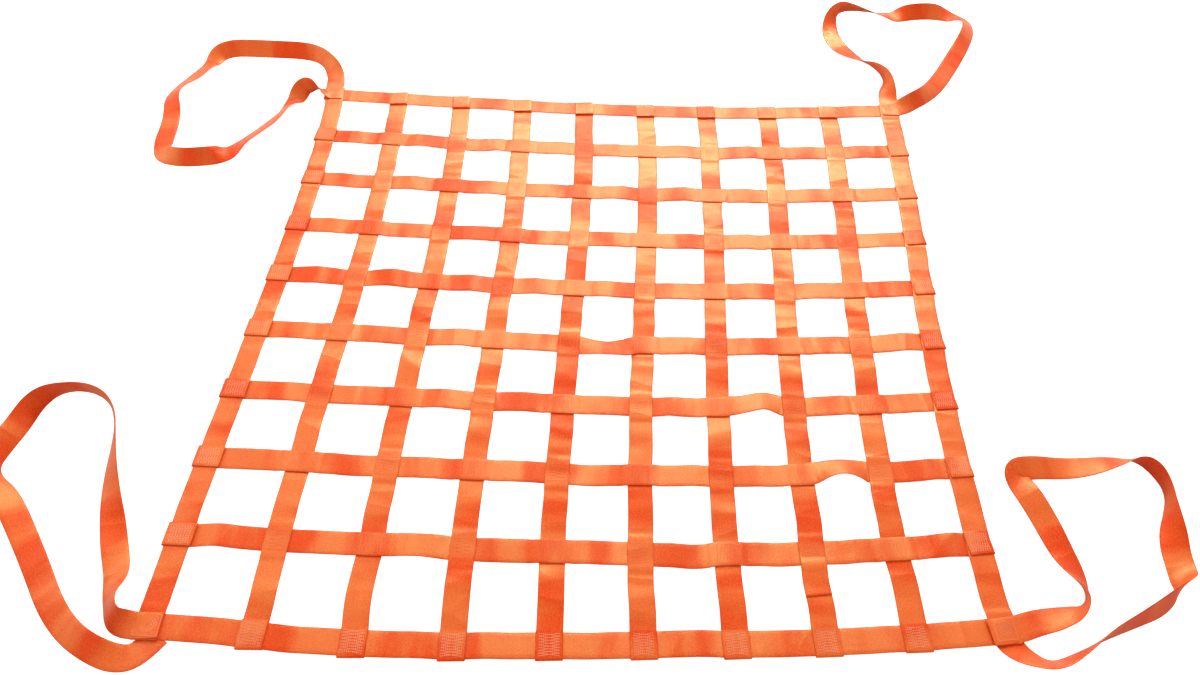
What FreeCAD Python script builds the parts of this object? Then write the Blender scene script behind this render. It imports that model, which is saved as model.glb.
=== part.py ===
# Cargo climbing net: flat webbing straps woven over and under each other, sewn at every
# crossing, with a border strap along each side and a free loop at each corner.
# Units are millimetres. The net lies flat on the plane z = 0, centred on the origin:
# +X to the right, +Y to the rear, +Z up.
import FreeCAD, Part
import math
import os
import re

import Sketcher

doc = FreeCAD.newDocument("cargo_climbing_net")

# ---------------------------------------------------------------- driving dimensions

DIMENSIONS = [
    ("web_width", 50.0, "width of the webbing"),
    ("web_thick", 2.5, "thickness of the webbing"),
    ("pitch", 170.0, "from one strap's centre line to the next"),
    ("ease", 5.0, "flat webbing kept on each side of a crossing"),
    ("crease_gap", 0.5, "gap between the segments of a strap at a crease"),
    ("loop_reach", 7.0, "from the net's edge to the line a corner loop turns on"),
    ("side_reach", 60.0, "how far a loop's second end runs along that line"),
    ("lap_length", 60.0, "overlap where one strap is joined from two lengths"),
    ("thread_thick", 0.4, "height of a row of stitches above the webbing"),
    ("thread_width", 1.6, "width of a row of stitches"),
    ("stitch_size", 38.0, "side of the square that is stitched at a crossing"),
    ("stitch_margin", 3.0, "from that square to the zigzag inside it"),
]

sheet = doc.addObject("Spreadsheet::Sheet", "dimensions")
for line, (alias, value, note) in enumerate(DIMENSIONS, start=1):
    sheet.set("A%d" % line, alias)
    sheet.set("B%d" % line, str(value))
    sheet.set("C%d" % line, note)
    sheet.setAlias("B%d" % line, alias)
doc.recompute()

CROSSINGS = 10  # straps each way, the two border straps counted
LAST = CROSSINGS - 1
MIDDLE = LAST / 2.0  # a strap's number less this, times the pitch, is its place
INNER = range(1, LAST)  # numbers of the straps between the borders
REAR_ROWS = range(1, CROSSINGS // 2)  # rows are counted from the rear border
FRONT_ROWS = range(CROSSINGS // 2, LAST)
LAPPED_COLUMN = 7  # the strap that is joined from two lengths, in front of this row
LAPPED_ROW = 8
ZIGZAG_STROKES = 8
ROUND_TURNS = 0  # Part's word for rounding the outside of an offset line's turns

# A strap lies in layers one webbing thickness high. Inner straps are in layer 0 or 1,
# border straps in layer 1, and the ends folded back over a border in layer 2.
BORDER_LAYER = 1
FOLDED_LAYER = 2
SIDE_CORNER_LAYER = 2
TOP_END_LAYER = 3

# Expressions of the sheet's cells
EDGE = "(%g*pitch + web_width/2)" % MIDDLE  # from the centre to the net's outer edge
CREASE = "(pitch/2 - web_width/2)"  # from the centre to either crease line


def linked(text):
    """Writes the bare names in an expression as cells of the sheet."""
    for alias, value, note in DIMENSIONS:
        text = re.sub(r"\b%s\b" % alias, "dimensions." + alias, text)
    return text


def evaluate(text):
    """The number that an expression gives with the sheet's values."""
    return float(sheet.evalExpression(linked(text)))


def bind(thing, sizes):
    """Binds each named property to its expression."""
    for name, text in sizes.items():
        thing.setExpression(name, linked(text))


# ---------------------------------------------------------------- how the straps are woven

def cross_layer(row, column):
    """Layer of the strap that runs along X, where it meets a column."""
    if column in (0, LAST):
        return 0
    return 1 if (row + column) % 2 == 0 else 0


def long_layer(row, column):
    """Layer of the strap that runs along Y, where it meets a row."""
    if row in (0, LAST):
        return 0
    return 1 if (row + column) % 2 == 1 else 0


def side_layer(row):
    """Layer of a side border, which climbs over the front and rear borders."""
    return SIDE_CORNER_LAYER if row in (0, LAST) else BORDER_LAYER


def flat_stretches(numbers, layer_of, low_end, high_end):
    """The flat stretches of a strap's side view, each [start, end, layer]."""
    stretches = []
    for number in numbers:
        centre = "%g*pitch" % (number - MIDDLE)
        start = centre + " - web_width/2 - ease"
        end = centre + " + web_width/2 + ease"
        layer = layer_of(number)
        if stretches and stretches[-1][2] == layer:
            stretches[-1][1] = end
        else:
            stretches.append([start, end, layer])
    stretches[0][0] = low_end
    stretches[-1][1] = high_end
    return stretches


def folded_end(sign):
    """Corners of an end that wraps the border's outer edge and lies back over the border."""
    outer = "%d*(%s + web_thick)" % (sign, EDGE)
    edge = "%d*%s" % (sign, EDGE)
    inner = "%d*(%s - web_width)" % (sign, EDGE)
    top = "%d*web_thick" % (FOLDED_LAYER + 1)
    underside = "%d*web_thick" % FOLDED_LAYER
    return [(outer, "0*web_thick"), (outer, top), (inner, top), (inner, underside), (edge, underside)]


def strap_outline(stretches, low_folded, high_folded):
    """Side view of a strap: along its underside, and back along its top."""
    lower = []
    upper = []
    for start, end, layer in stretches:
        underside = "%d*web_thick" % layer
        top = "%d*web_thick" % (layer + 1)
        lower += [(start, underside), (end, underside)]
        upper += [(start, top), (end, top)]
    if high_folded:
        lower = lower[:-1] + folded_end(1)
    if low_folded:
        lower = folded_end(-1)[::-1] + lower[1:]
    return lower + upper[::-1]


# ---------------------------------------------------------------- building sub-parts

parts = {}


def keep(label, thing):
    """Names a sub-part. Its label is also the name of its file."""
    thing.Label = label
    parts[label] = thing
    return thing


def origin_plane(body, role):
    return next(f for f in body.Origin.OriginFeatures if f.Role == role)


def outline_sketch(body, role, corners):
    """A closed outline whose corners are pairs of expressions."""
    sketch = body.newObject("Sketcher::SketchObject", body.Name + "_side_view")
    sketch.AttachmentSupport = [(origin_plane(body, role), "")]
    sketch.MapMode = "FlatFace"
    places = [FreeCAD.Vector(evaluate(along), evaluate(up), 0) for along, up in corners]
    count = len(corners)
    for k in range(count):
        sketch.addGeometry(Part.LineSegment(places[k], places[(k + 1) % count]), False)
    for k in range(count):
        sketch.addConstraint(Sketcher.Constraint("Coincident", k, 2, (k + 1) % count, 1))
    for k, (along, up) in enumerate(corners):
        for kind, value, text in (("DistanceX", places[k].x, along), ("DistanceY", places[k].y, up)):
            index = sketch.addConstraint(Sketcher.Constraint(kind, -1, 1, k, 1, value))
            sketch.setExpression("Constraints[%d]" % index, linked(text))
    return sketch


def strap(label, role, outline, across, offset):
    """A webbing strap: its side view padded to the webbing's width, and moved into place."""
    body = doc.addObject("PartDesign::Body", label)
    sketch = outline_sketch(body, role, outline)
    pad = body.newObject("PartDesign::Pad", label + "_webbing")
    pad.Profile = sketch
    pad.SideType = "Symmetric"
    bind(pad, {"Length": "web_width"})
    bind(body, {"Placement.Base." + across: offset})
    return keep(label, body)


def plain_box(name, low, size):
    """A box from its low corner and its size, each three expressions."""
    box = doc.addObject("Part::Box", name)
    bind(box, dict(zip(("Length", "Width", "Height"), size)))
    bind(box, {"Placement.Base." + axis: text for axis, text in zip("xyz", low)})
    return box


# ---------------------------------------------------------------- the straps

def cross_straps():
    """The straps that run from the left border to the right one."""
    for row in INNER:
        stretches = flat_stretches(range(CROSSINGS), lambda n: cross_layer(row, n), "-1*" + EDGE, EDGE)
        outline = strap_outline(stretches, True, True)
        strap("cross_strap_%d" % row, "XZ_Plane", outline, "y", "%g*pitch" % (MIDDLE - row))


def long_strap(name, layer_of, folded, offset):
    """A strap that runs from front to rear, in three segments that meet at the two creases."""
    front = range(0, CROSSINGS // 2)
    middle = range(CROSSINGS // 2 - 1, CROSSINGS // 2 + 1)
    rear = range(CROSSINGS // 2, CROSSINGS)
    gap = "crease_gap/2"
    front_end = "-1*%s - %s" % (CREASE, gap)
    rear_end = "%s + %s" % (CREASE, gap)
    low = "-1*%s + %s" % (CREASE, gap)
    high = "%s - %s" % (CREASE, gap)
    for part, numbers, start, end, low_folded, high_folded in (
        ("front", front, "-1*" + EDGE, front_end, folded, False),
        ("middle", middle, low, high, False, False),
        ("rear", rear, rear_end, EDGE, False, folded),
    ):
        stretches = flat_stretches(numbers, layer_of, start, end)
        outline = strap_outline(stretches, low_folded, high_folded)
        strap("%s_%s" % (name, part), "YZ_Plane", outline, "x", offset)


def long_straps():
    """The straps between the side borders, then the side borders themselves."""
    for column in INNER:
        long_strap(
            "long_strap_%d" % column,
            lambda n: long_layer(LAST - n, column),
            True,
            "%g*pitch" % (column - MIDDLE),
        )
    for name, column in (("left_border", 0), ("right_border", LAST)):
        long_strap(name, lambda n: side_layer(LAST - n), False, "%g*pitch" % (column - MIDDLE))


def lapped_joint():
    """The end of the rear length of one strap, lying over the front length just in front of a
    crossing. It is flat beside the crossing and then follows the strap down."""
    crossing = "%g*pitch" % (LAPPED_ROW - MIDDLE)
    slope = "web_thick/(pitch - web_width - 2*ease)"
    start = "-1*(%s + web_width/2)" % crossing
    bend = "-1*(%s + web_width/2 + ease)" % crossing
    end = "-1*(%s + web_width/2 + lap_length)" % crossing
    fall = "%s*(lap_length - ease)" % slope
    outline = [
        (start, "2*web_thick"), (bend, "2*web_thick"), (end, "2*web_thick - " + fall),
        (end, "3*web_thick - " + fall), (bend, "3*web_thick"), (start, "3*web_thick"),
    ]
    name = "long_strap_%d_lap" % LAPPED_COLUMN
    strap(name, "YZ_Plane", outline, "x", "%g*pitch" % (LAPPED_COLUMN - MIDDLE))


def end_borders():
    """The front and rear borders, which lie straight under the side borders."""
    size = ("2*" + EDGE, "web_width", "web_thick")
    height = "%d*web_thick" % BORDER_LAYER
    keep("front_border", plain_box("front_border", ("-1*" + EDGE, "-1*" + EDGE, height), size))
    keep("rear_border", plain_box("rear_border", ("-1*" + EDGE, EDGE + " - web_width", height), size))


# ---------------------------------------------------------------- the corner loops

# Each loop is one length of webbing. Its two ends are sewn above and below a corner, and the
# rest lies free. The route is the middle of the webbing seen from above, from one end to the
# other, and the webbing stands on its edge along it.
FRONT_LEFT_ROUTE = [
    (-798, -768), (-852, -776), (-888, -728), (-908, -650), (-945, -572), (-974, -488),
    (-999, -400), (-1026, -312), (-1086, -270), (-1160, -270), (-1204, -330), (-1213, -424),
    (-1196, -508), (-1128, -586), (-1060, -668), (-992, -760), (-918, -828), (-852, -846),
    (-798, -824),
]
FRONT_RIGHT_ROUTE = [
    (798, -760), (848, -722), (902, -690), (930, -634), (905, -562), (880, -482), (850, -414),
    (884, -374), (958, -377), (1042, -362), (1116, -362), (1156, -404), (1140, -480),
    (1132, -560), (1114, -634), (1048, -680), (962, -722), (884, -762), (838, -796),
    (798, -812),
]
REAR_LEFT_ROUTE = [
    (-798, 852), (-836, 906), (-890, 962), (-972, 974), (-1064, 980), (-1150, 984),
    (-1196, 940), (-1214, 862), (-1246, 806), (-1262, 744), (-1228, 652), (-1216, 560),
    (-1176, 490), (-1096, 482), (-1030, 512), (-980, 590), (-934, 664), (-914, 748),
    (-884, 812), (-834, 818), (-798, 784),
]
REAR_RIGHT_ROUTE = [
    (768, 798), (776, 862), (780, 928), (744, 980), (700, 1034), (656, 1110), (646, 1196),
    (684, 1278), (758, 1272), (830, 1250), (908, 1252), (992, 1276), (1058, 1254),
    (1080, 1188), (1030, 1098), (986, 1016), (940, 936), (894, 862), (850, 820), (818, 798),
]
ARC_SHARE = 0.45  # the part of the shorter run beside a bend that the bend takes up


def rounded_path(route):
    """Straight runs joined by tangent arcs, and the smallest radius among the arcs."""
    points = [FreeCAD.Vector(x, y, 0) for x, y in route]
    edges = []
    radii = []
    here = points[0]
    for before, corner, after in zip(points, points[1:], points[2:]):
        back = before - corner
        ahead = after - corner
        cut = ARC_SHARE * min(back.Length, ahead.Length)
        half_turn = (math.pi - back.getAngle(ahead)) / 2
        radius = cut / math.tan(half_turn)
        back.normalize()
        ahead.normalize()
        start = corner + back * cut
        end = corner + ahead * cut
        inward = back + ahead
        inward.normalize()
        middle = corner + inward * (radius / math.cos(half_turn) - radius)
        edges.append(Part.LineSegment(here, start).toShape())
        edges.append(Part.Arc(start, middle, end).toShape())
        radii.append(radius)
        here = end
    edges.append(Part.LineSegment(here, points[-1]).toShape())
    return Part.Wire(edges), min(radii)


def corner_loop(label, route):
    """The free webbing of a loop: a band on its edge, carried along the route."""
    width = evaluate("web_width")
    thick = evaluate("web_thick")
    path, smallest = rounded_path(route)
    start = FreeCAD.Vector(*route[0], 0)
    ahead = FreeCAD.Vector(*route[1], 0) - start
    aside = FreeCAD.Vector(-ahead.y, ahead.x, 0).normalize() * (thick / 2)
    rise = FreeCAD.Vector(0, 0, width)
    corners = [start - aside, start + aside, start + aside + rise, start - aside + rise]
    section = Part.makePolygon(corners + [corners[0]])
    loop = keep(label, doc.addObject("Part::Feature", label))
    loop.Shape = path.makePipeShell([section], True, False)
    volume = width * thick * path.Length
    print("%s: %.0f mm long, smallest radius %.0f mm, volume %.4f of section times length"
          % (label, path.Length, smallest, loop.Shape.Volume / volume))


def loop_end(name, side_x, side_y, x_shift, x_reach, y_shift, y_reach, layer):
    """A sewn end: the corner's square, carried outwards by the reach and inner-cut by the shift."""
    low = []
    size = []
    for side, shift, reach in ((side_x, x_shift, x_reach), (side_y, y_shift, y_reach)):
        if side > 0:
            low.append("%s - web_width + %s" % (EDGE, shift))
        else:
            low.append("-1*(%s + %s)" % (EDGE, reach))
        size.append("web_width + %s - %s" % (reach, shift))
    low.append("%d*web_thick" % layer)
    size.append("web_thick")
    return plain_box(name, low, size)


def loop_ends(label, side_x, side_y, turns_along, straight_layer):
    """Both sewn ends of a loop. One runs straight to the line that the loop turns on, and the
    other, above or below it, lies along that line."""
    straight = ("0", "loop_reach")
    plain = ("0", "0")
    moved = ("loop_reach", "loop_reach")
    along = ("0", "side_reach")
    side_end_layer = TOP_END_LAYER - straight_layer
    if turns_along == "y":
        first = loop_end(label + "_straight", side_x, side_y, *straight, *plain, straight_layer)
        second = loop_end(label + "_side", side_x, side_y, *moved, *along, side_end_layer)
    else:
        first = loop_end(label + "_straight", side_x, side_y, *plain, *straight, straight_layer)
        second = loop_end(label + "_side", side_x, side_y, *along, *moved, side_end_layer)
    both = keep(label, doc.addObject("Part::Compound", label))
    both.Links = [first, second]


def corner_loops():
    for name, route, side_x, side_y, turns_along, straight_layer in (
        ("front_left_loop", FRONT_LEFT_ROUTE, -1, -1, "y", TOP_END_LAYER),
        ("front_right_loop", FRONT_RIGHT_ROUTE, 1, -1, "y", TOP_END_LAYER),
        ("rear_left_loop", REAR_LEFT_ROUTE, -1, 1, "y", 0),
        ("rear_right_loop", REAR_RIGHT_ROUTE, 1, 1, "x", TOP_END_LAYER),
    ):
        corner_loop(name, route)
        loop_ends(name + "_ends", side_x, side_y, turns_along, straight_layer)


# ---------------------------------------------------------------- the stitching

def zigzag(size):
    """One row of thread that runs up and down between two sides of a square."""
    half = (size - evaluate("thread_width")) / 2
    step = 2 * half / ZIGZAG_STROKES
    turns = [FreeCAD.Vector(k * step - half, half if k % 2 else -half, 0) for k in range(ZIGZAG_STROKES + 1)]
    outline = Part.makePolygon(turns).makeOffset2D(evaluate("thread_width/2"), ROUND_TURNS)
    return raised(Part.Face(outline))


def frame(size):
    """A square of thread."""
    thread = evaluate("thread_width")
    outer = Part.makePlane(size, size, FreeCAD.Vector(-size / 2, -size / 2, 0))
    inner_size = size - 2 * thread
    inner = Part.makePlane(inner_size, inner_size, FreeCAD.Vector(-inner_size / 2, -inner_size / 2, 0))
    return raised(outer.cut(inner).Faces[0])


def raised(face):
    return face.extrude(FreeCAD.Vector(0, 0, evaluate("thread_thick")))


def stitch_group(label, places, framed):
    """The same stitches at each place, turned where the strap under them runs along Y."""
    size = evaluate("stitch_size")
    inside = size - 2 * evaluate("thread_width") - 2 * evaluate("stitch_margin")
    rows = [frame(size), zigzag(inside)] if framed else [zigzag(size)]
    copies = []
    for place, turned in places:
        for row in rows:
            copy = row.copy()
            if turned:
                copy.rotate(FreeCAD.Vector(0, 0, 0), FreeCAD.Vector(0, 0, 1), 90)
            copy.translate(place)
            copies.append(copy)
    group = keep(label, doc.addObject("Part::Feature", label))
    group.Shape = Part.makeCompound(copies)


def stitching():
    pitch = evaluate("pitch")
    thick = evaluate("web_thick")

    def place(row, column, layer):
        return FreeCAD.Vector((column - MIDDLE) * pitch, (MIDDLE - row) * pitch, (layer + 1) * thick)

    for name, rows, end_row in (("rear", REAR_ROWS, 0), ("front", FRONT_ROWS, LAST)):
        crossings = [(place(row, column, 1), long_layer(row, column) == 1)
                     for row in rows for column in INNER]
        stitch_group(name + "_crossing_stitches", crossings, True)
        sides = [(place(row, column, FOLDED_LAYER), False) for row in rows for column in (0, LAST)]
        ends = [(place(end_row, column, FOLDED_LAYER), True) for column in INNER]
        stitch_group(name + "_border_stitches", sides + ends, False)
        corners = [(place(end_row, column, TOP_END_LAYER), False) for column in (0, LAST)]
        stitch_group(name + "_corner_stitches", corners, True)


# ---------------------------------------------------------------- build, check and write

cross_straps()
long_straps()
lapped_joint()
end_borders()
corner_loops()
stitching()
doc.recompute()

for thing in doc.Objects:
    if "Invalid" in thing.State or "Error" in thing.State:
        raise RuntimeError("%s failed: %s" % (thing.Label, thing.State))
for label, thing in parts.items():
    if thing.Shape.isNull() or not thing.Shape.isValid():
        raise RuntimeError("%s has no valid shape" % label)

os.makedirs("parts", exist_ok=True)
for label, thing in parts.items():
    thing.Shape.exportStep(os.path.join("parts", label + ".step"))
print("%d sub-parts written" % len(parts))
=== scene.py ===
import bpy
import numpy as np
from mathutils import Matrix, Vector


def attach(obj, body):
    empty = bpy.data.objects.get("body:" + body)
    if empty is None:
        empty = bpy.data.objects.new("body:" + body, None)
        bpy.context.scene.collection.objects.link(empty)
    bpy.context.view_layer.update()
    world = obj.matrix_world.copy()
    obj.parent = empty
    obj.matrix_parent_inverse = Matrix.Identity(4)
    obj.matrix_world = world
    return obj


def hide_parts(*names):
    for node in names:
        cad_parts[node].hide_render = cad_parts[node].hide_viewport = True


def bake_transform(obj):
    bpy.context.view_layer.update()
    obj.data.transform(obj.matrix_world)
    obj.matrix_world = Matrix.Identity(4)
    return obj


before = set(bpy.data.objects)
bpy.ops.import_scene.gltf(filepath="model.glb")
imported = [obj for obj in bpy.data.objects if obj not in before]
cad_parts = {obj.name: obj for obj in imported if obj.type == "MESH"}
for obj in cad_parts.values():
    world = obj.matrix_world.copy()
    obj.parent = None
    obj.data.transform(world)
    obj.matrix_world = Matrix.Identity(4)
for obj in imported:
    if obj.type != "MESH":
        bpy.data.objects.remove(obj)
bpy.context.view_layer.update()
print("frame loaded,", len(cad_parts), "parts")

# the webbing and the grid, in metres
webWidth = 0.050
webThick = 0.0025
clothThick = 0.0023  # a hair thinner, so that layers touch without sharing a face
pitch = 0.170
crossings = 10
last = crossings - 1
middle = last / 2
halfSpan = middle * pitch
outerEdge = halfSpan + webWidth / 2


# ---- camera and light

cameraSettings = {
    "place": (0.0544, -1.4381, 1.6934), "towards": (-0.0274, 0.6290, -0.7770), "lens": 28.7, "sensor": 36,
}


def addCamera(settings):
    # looks from place along towards, with the picture's top upwards
    data = bpy.data.cameras.new("camera")
    data.lens = settings["lens"]
    data.sensor_width = settings["sensor"]
    camera = bpy.data.objects.new("camera", data)
    camera.location = settings["place"]
    camera.rotation_euler = Vector(settings["towards"]).to_track_quat("-Z", "Y").to_euler()
    bpy.context.scene.collection.objects.link(camera)
    bpy.context.scene.camera = camera


lightSettings = {
    # name: (place, aimed at, width, depth, watts)
    "backSoftbox": ((0.4, 4.2, 3.0), (0.0, 0.0, 0.0), 3.8, 1.2, 250),
    "sideSoftbox": ((-3.0, 0.8, 1.7), (0.0, 0.0, 0.0), 1.6, 1.6, 24),
}
# the room is warm in front of the net and neutral behind it
roomGlow = {"front": (0.86, 0.60, 0.52), "back": (0.62, 0.62, 0.62)}


def addLights(settings, glow):
    # rectangles of soft light, each turned to face its aim, in a room whose colour changes to the rear:
    # colour = front + (back - front) x (y + 1) / 2, where y is the rearward part of the view direction
    for name, (place, aim, width, depth, watts) in settings.items():
        data = bpy.data.lights.new(name, "AREA")
        data.shape = "RECTANGLE"
        data.size = width
        data.size_y = depth
        data.energy = watts
        light = bpy.data.objects.new(name, data)
        light.location = place
        light.rotation_euler = (Vector(aim) - Vector(place)).to_track_quat("-Z", "Y").to_euler()
        bpy.context.scene.collection.objects.link(light)
    world = bpy.data.worlds.new("room")
    world.use_nodes = True
    background = world.node_tree.nodes["Background"]
    tree = world.node_tree
    coordinates = tree.nodes.new("ShaderNodeTexCoord")
    split = tree.nodes.new("ShaderNodeSeparateXYZ")
    tree.links.new(coordinates.outputs["Generated"], split.inputs[0])
    share = tree.nodes.new("ShaderNodeMath")
    share.operation = "MULTIPLY_ADD"
    share.inputs[1].default_value = 0.5
    share.inputs[2].default_value = 0.5
    tree.links.new(split.outputs[1], share.inputs[0])
    blend = tree.nodes.new("ShaderNodeMix")
    blend.data_type = "RGBA"
    blend.inputs[6].default_value = (*glow["front"], 1)
    blend.inputs[7].default_value = (*glow["back"], 1)
    tree.links.new(share.outputs[0], blend.inputs["Factor"])
    # the camera itself sees a white room wherever the floor ends
    rays = tree.nodes.new("ShaderNodeLightPath")
    seen = tree.nodes.new("ShaderNodeMix")
    seen.data_type = "RGBA"
    seen.inputs[7].default_value = (1, 1, 1, 1)
    tree.links.new(rays.outputs["Is Camera Ray"], seen.inputs["Factor"])
    tree.links.new(blend.outputs[2], seen.inputs[6])
    tree.links.new(seen.outputs[2], background.inputs["Color"])
    bpy.context.scene.world = world


addCamera(cameraSettings)
addLights(lightSettings, roomGlow)
bpy.context.scene.view_settings.view_transform = "Standard"
print("camera and lights set")


# ---- materials

def newGroup(name, inputs, outputs):
    # an empty shader group with the named sockets; returns it with its two end nodes
    group = bpy.data.node_groups.new(name, "ShaderNodeTree")
    for label, kind, value in inputs:
        socket = group.interface.new_socket(label, in_out="INPUT", socket_type=kind)
        if value is not None:
            socket.default_value = value
    for label, kind in outputs:
        group.interface.new_socket(label, in_out="OUTPUT", socket_type=kind)
    start = group.nodes.new("NodeGroupInput")
    end = group.nodes.new("NodeGroupOutput")
    return group, start, end


def mathNode(tree, operation, a, b=None, c=None, clamp=False):
    # one Math node; a, b and c are numbers or sockets
    node = tree.nodes.new("ShaderNodeMath")
    node.operation = operation
    node.use_clamp = clamp
    for slot, value in zip(node.inputs, (a, b, c)):
        if isinstance(value, (int, float)):
            slot.default_value = value
        elif value is not None:
            tree.links.new(value, slot)
    return node.outputs[0]


# metres: width of a rib and length of a float
weaveForm = {"rib": 0.0016, "float": 0.0042, "stepPerRib": 0.25, "floatShare": 0.45}


def weaveGroup(form):
    # ribs run along the strap; each rib is a row of short floats, and each row starts a quarter
    # of a float after its neighbour, so the floats line up in slanting steps:
    # height = rib crown x (1 - float share + float share x float crown), where
    # crown = square root of |sine|; valley = (1 - height) squared, the mask of the painted shade in the
    # weave's valleys
    group, start, end = newGroup("webbingWeave", [
        ("UV", "NodeSocketVector", None),
        ("Rib", "NodeSocketFloat", form["rib"]),
        ("Float", "NodeSocketFloat", form["float"]),
    ], [("Height", "NodeSocketFloat"), ("Valley Shade", "NodeSocketFloat")])

    def crown(count):
        # square root of |sin(pi x count)|
        wave = mathNode(group, "SINE", mathNode(group, "MULTIPLY", count, np.pi))
        return mathNode(group, "SQRT", mathNode(group, "ABSOLUTE", wave))

    split = group.nodes.new("ShaderNodeSeparateXYZ")
    group.links.new(start.outputs["UV"], split.inputs[0])
    rib = mathNode(group, "DIVIDE", split.outputs[1], start.outputs["Rib"])
    step = mathNode(group, "MULTIPLY", mathNode(group, "FLOOR", rib), form["stepPerRib"])
    run = mathNode(group, "ADD", mathNode(group, "DIVIDE", split.outputs[0], start.outputs["Float"]), step)
    floats = mathNode(group, "MULTIPLY_ADD", crown(run), form["floatShare"], 1 - form["floatShare"])
    height = mathNode(group, "MULTIPLY", crown(rib), floats)
    group.links.new(height, end.inputs["Height"])
    valleyShade = mathNode(group, "SUBTRACT", 1.0, height)
    group.links.new(mathNode(group, "MULTIPLY", valleyShade, valleyShade), end.inputs["Valley Shade"])
    return group


edgeShadeForm = {"edge": 0.002}  # metres


def edgeShadeGroup(form):
    # mask that is 1 at the edges of a strap, where shade is painted along them: mask = 1 - (half width -
    # |across|) / edge width
    group, start, end = newGroup("edgeShade", [
        ("UV", "NodeSocketVector", None),
        ("Half Width", "NodeSocketFloat", webWidth / 2),
        ("Edge", "NodeSocketFloat", form["edge"]),
    ], [("Mask", "NodeSocketFloat")])
    split = group.nodes.new("ShaderNodeSeparateXYZ")
    group.links.new(start.outputs["UV"], split.inputs[0])
    across = mathNode(group, "ABSOLUTE", split.outputs[1])
    distance = mathNode(group, "SUBTRACT", start.outputs["Half Width"], across)
    edges = mathNode(group, "DIVIDE", distance, start.outputs["Edge"])
    group.links.new(mathNode(group, "SUBTRACT", 1.0, edges, clamp=True), end.inputs["Mask"])
    return group


mottleForm = {
    # scale (per metre) and detail of each noise; streaks are drawn out along the strap
    "cloud": (9.0, 3), "streak": (260.0, 2), "speck": (330.0, 1), "streakStretch": 0.035,
}


def mottleGroup(form):
    # changes of tone over the cloth: a broad cloud, long faint streaks along the strap, and fine specks
    group, start, end = newGroup("clothMottle", [
        ("UV", "NodeSocketVector", None),
        ("Place", "NodeSocketVector", None),
        ("Cloud", "NodeSocketFloat", form["cloud"][0]),
        ("Streak", "NodeSocketFloat", form["streak"][0]),
        ("Speck", "NodeSocketFloat", form["speck"][0]),
    ], [("Tone", "NodeSocketFloat"), ("Streaks", "NodeSocketFloat"), ("Specks", "NodeSocketFloat")])
    stretch = group.nodes.new("ShaderNodeVectorMath")
    stretch.operation = "MULTIPLY"
    stretch.inputs[1].default_value = (form["streakStretch"], 1, 1)
    group.links.new(start.outputs["UV"], stretch.inputs[0])
    for place, label, result in (
        (start.outputs["Place"], "Cloud", "Tone"),
        (stretch.outputs[0], "Streak", "Streaks"),
        (start.outputs["UV"], "Speck", "Specks"),
    ):
        noise = group.nodes.new("ShaderNodeTexNoise")
        noise.inputs["Detail"].default_value = form[label.lower()][1]
        group.links.new(place, noise.inputs["Vector"])
        group.links.new(start.outputs[label], noise.inputs["Scale"])
        group.links.new(noise.outputs[0], end.inputs[result])
    return group


buckleForm = {
    # scale (per metre) and detail of the creases and of the patches of painted light and shade
    "spacing": (10.0, 1.5), "patches": (9.0, 4.0),
    # turn in radians, and the scale across the strap, which draws both out
    "slant": 0.35, "squeeze": 0.3,
    # painted light and shade patches = contrast x noise - threshold
    "contrast": 8.0, "threshold": 3.3,
}


def buckleGroup(form):
    # soft creases across the strap: ridged noise, 1 - |2 noise - 1|, on a UV turned a little and
    # squeezed across the strap, so that most creases run from edge to edge at a slant. The second output
    # is a noise with its middle values stretched, which leaves patches of painted light and shade with
    # fairly sharp borders, standing for light and shade on creased cloth
    group, start, end = newGroup("handlingBuckles", [
        ("UV", "NodeSocketVector", None),
        ("Spacing", "NodeSocketFloat", form["spacing"][0]),
        ("Patches", "NodeSocketFloat", form["patches"][0]),
    ], [("Height", "NodeSocketFloat"), ("Painted Shade", "NodeSocketFloat")])
    squeeze = group.nodes.new("ShaderNodeMapping")
    squeeze.inputs["Rotation"].default_value = (0, 0, form["slant"])
    squeeze.inputs["Scale"].default_value = (1, form["squeeze"], 1)
    group.links.new(start.outputs["UV"], squeeze.inputs["Vector"])
    noises = []
    for label in ("Spacing", "Patches"):
        noise = group.nodes.new("ShaderNodeTexNoise")
        noise.inputs["Detail"].default_value = form[label.lower()][1]
        group.links.new(squeeze.outputs[0], noise.inputs["Vector"])
        group.links.new(start.outputs[label], noise.inputs["Scale"])
        noises.append(noise.outputs[0])
    fold = mathNode(group, "ABSOLUTE", mathNode(group, "MULTIPLY_ADD", noises[0], 2.0, -1.0))
    group.links.new(mathNode(group, "SUBTRACT", 1.0, fold), end.inputs["Height"])
    paintedShade = mathNode(group, "MULTIPLY_ADD", noises[1], form["contrast"], -form["threshold"], clamp=True)
    group.links.new(paintedShade, end.inputs["Painted Shade"])
    return group


sharedGroups = {
    "weave": weaveGroup(weaveForm),
    "edgeShade": edgeShadeGroup(edgeShadeForm),
    "mottle": mottleGroup(mottleForm),
    "buckle": buckleGroup(buckleForm),
}

# the yarn's tone runs from deep to bright, partly as random tone and partly as patches of painted light
# and shade; the valley colour is the painted shade laid in the weave's valleys and along the strap's edges
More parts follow.
